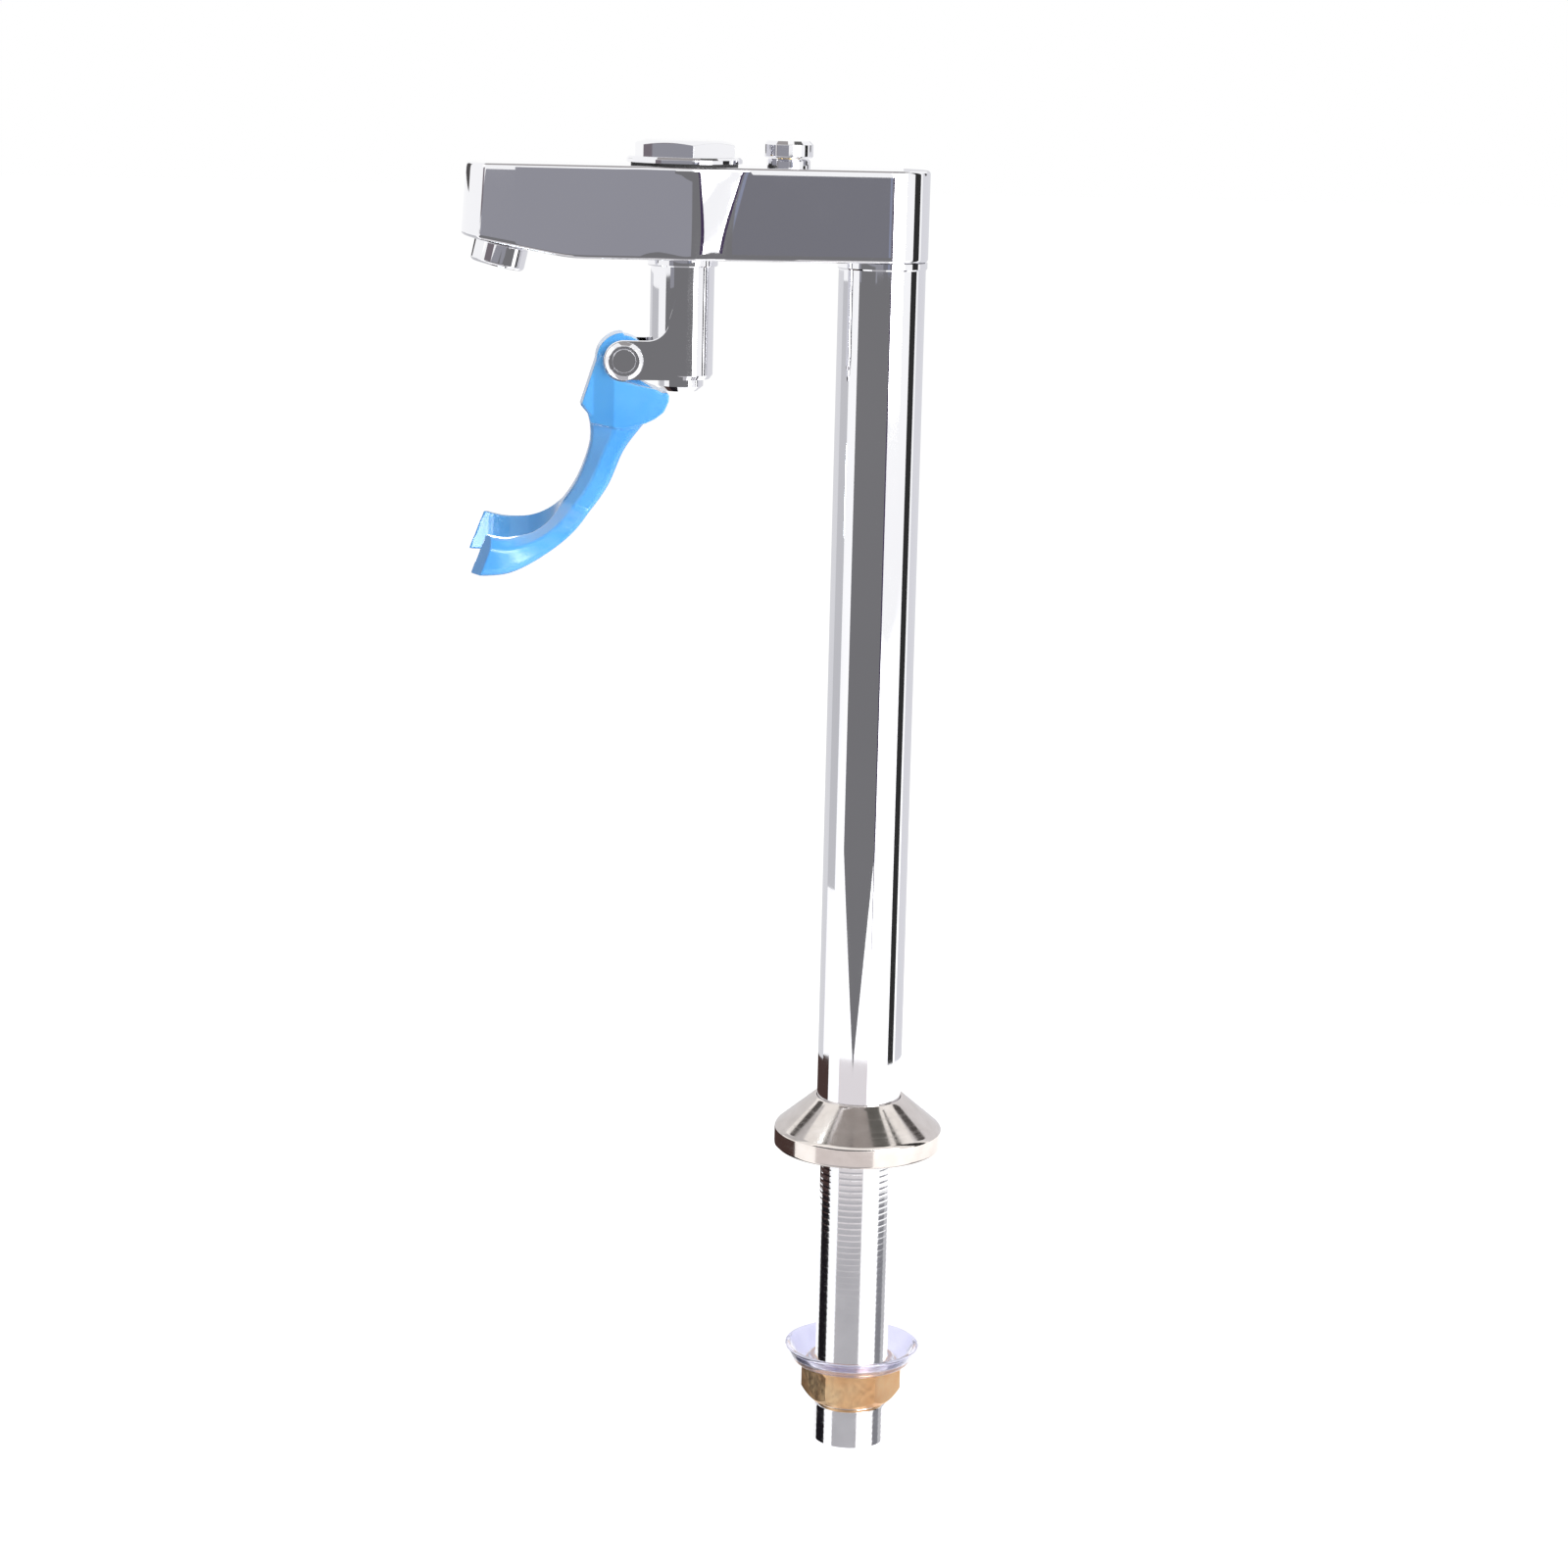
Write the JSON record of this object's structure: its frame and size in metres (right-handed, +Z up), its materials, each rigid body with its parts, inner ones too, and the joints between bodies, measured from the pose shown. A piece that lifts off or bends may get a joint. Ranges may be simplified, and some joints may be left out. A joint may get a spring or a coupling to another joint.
{
  "type": "push handle table tap",
  "caption": "Deck pedestal glass-filler tap: box arm on a tall column, push-up valve worked by a curved forked lever, threaded shank with dished washer and locknut.",
  "frame": {"origin": "column axis at the deck plane, which is the underside of the escutcheon", "axes": "+Z up along the column, -Y from the column towards the nozzle, X across the arm"},
  "size_m": [0.0602, 0.1395, 0.3752],
  "materials": {
    "chrome": "polished chrome plate",
    "warm_chrome": "polished, slightly warm nickel plate",
    "thread_chrome": "plated thread",
    "blue_plastic": "glossy moulded plastic",
    "clear_plastic": "translucent moulded plastic",
    "white_plastic": "moulded plastic",
    "nut_brass": "turned brass",
    "brass": "turned brass",
    "spring_steel": "drawn stainless wire",
    "rubber": "moulded rubber"
  },
  "bodies": {
    "stand": {"head_body": "chrome", "valve_cap": "chrome", "cap_gasket": "rubber", "return_spring": "spring_steel", "seat_ring": "brass", "valve_housing": "chrome", "housing_ring": "chrome", "packing_gland": "brass", "stem_seals": "rubber", "pivot_pin": "chrome", "pin_clip": "spring_steel", "regulator_gland": "chrome", "nozzle": "chrome", "outlet_insert": "white_plastic", "nozzle_seal": "rubber", "riser_union": "chrome", "union_seal": "rubber", "riser_tube": "chrome", "escutcheon": "warm_chrome", "base_gasket": "rubber", "shank": "thread_chrome"},
    "lever": {"push_lever": "blue_plastic"},
    "plunger": {"valve_stem": "brass", "stem_nut": "brass", "valve_disc": "rubber", "push_button": "chrome"},
    "regulator": {"regulator_spindle": "brass", "regulator_knob": "chrome", "regulator_seal": "rubber"},
    "washer": {"dished_washer": "clear_plastic"},
    "nut": {"locknut": "nut_brass"}
  },
  "joints": [
    {"name": "lever_hinge", "type": "hinge", "parent": "stand", "child": "lever", "pos_m": [0, -0.0711, 0.2254], "axis": [1, 0, 0], "range_deg": [0, 12], "stiffness_Nm_per_rad": 0.285, "springref_deg": -25.78},
    {"name": "plunger_slide", "type": "slide", "parent": "stand", "child": "plunger", "axis": [0, 0, 1], "range_m": [0, 0.0028], "deforming": ["return_spring"]},
    {"name": "regulator_turn", "type": "hinge", "parent": "stand", "child": "regulator", "pos_m": [0, -0.0266, 0.27], "axis": [0, 0, 1], "range_deg": [0, 90]},
    {"name": "washer_slide", "type": "slide", "parent": "stand", "child": "washer", "axis": [0, 0, 1], "range_m": [-0.0128, 0.0582]},
    {"name": "nut_turn", "type": "hinge", "parent": "washer", "child": "nut", "pos_m": [0, 0, -0.07], "axis": [0, 0, 1], "range_deg": [-2520, 11520]}
  ],
  "couplings": [
    {"joint": "plunger_slide", "follows": "lever_hinge", "m_per_rad": 0.01332},
    {"joint": "washer_slide", "follows": "nut_turn", "m_per_rad": 0.00028871}
  ]
}
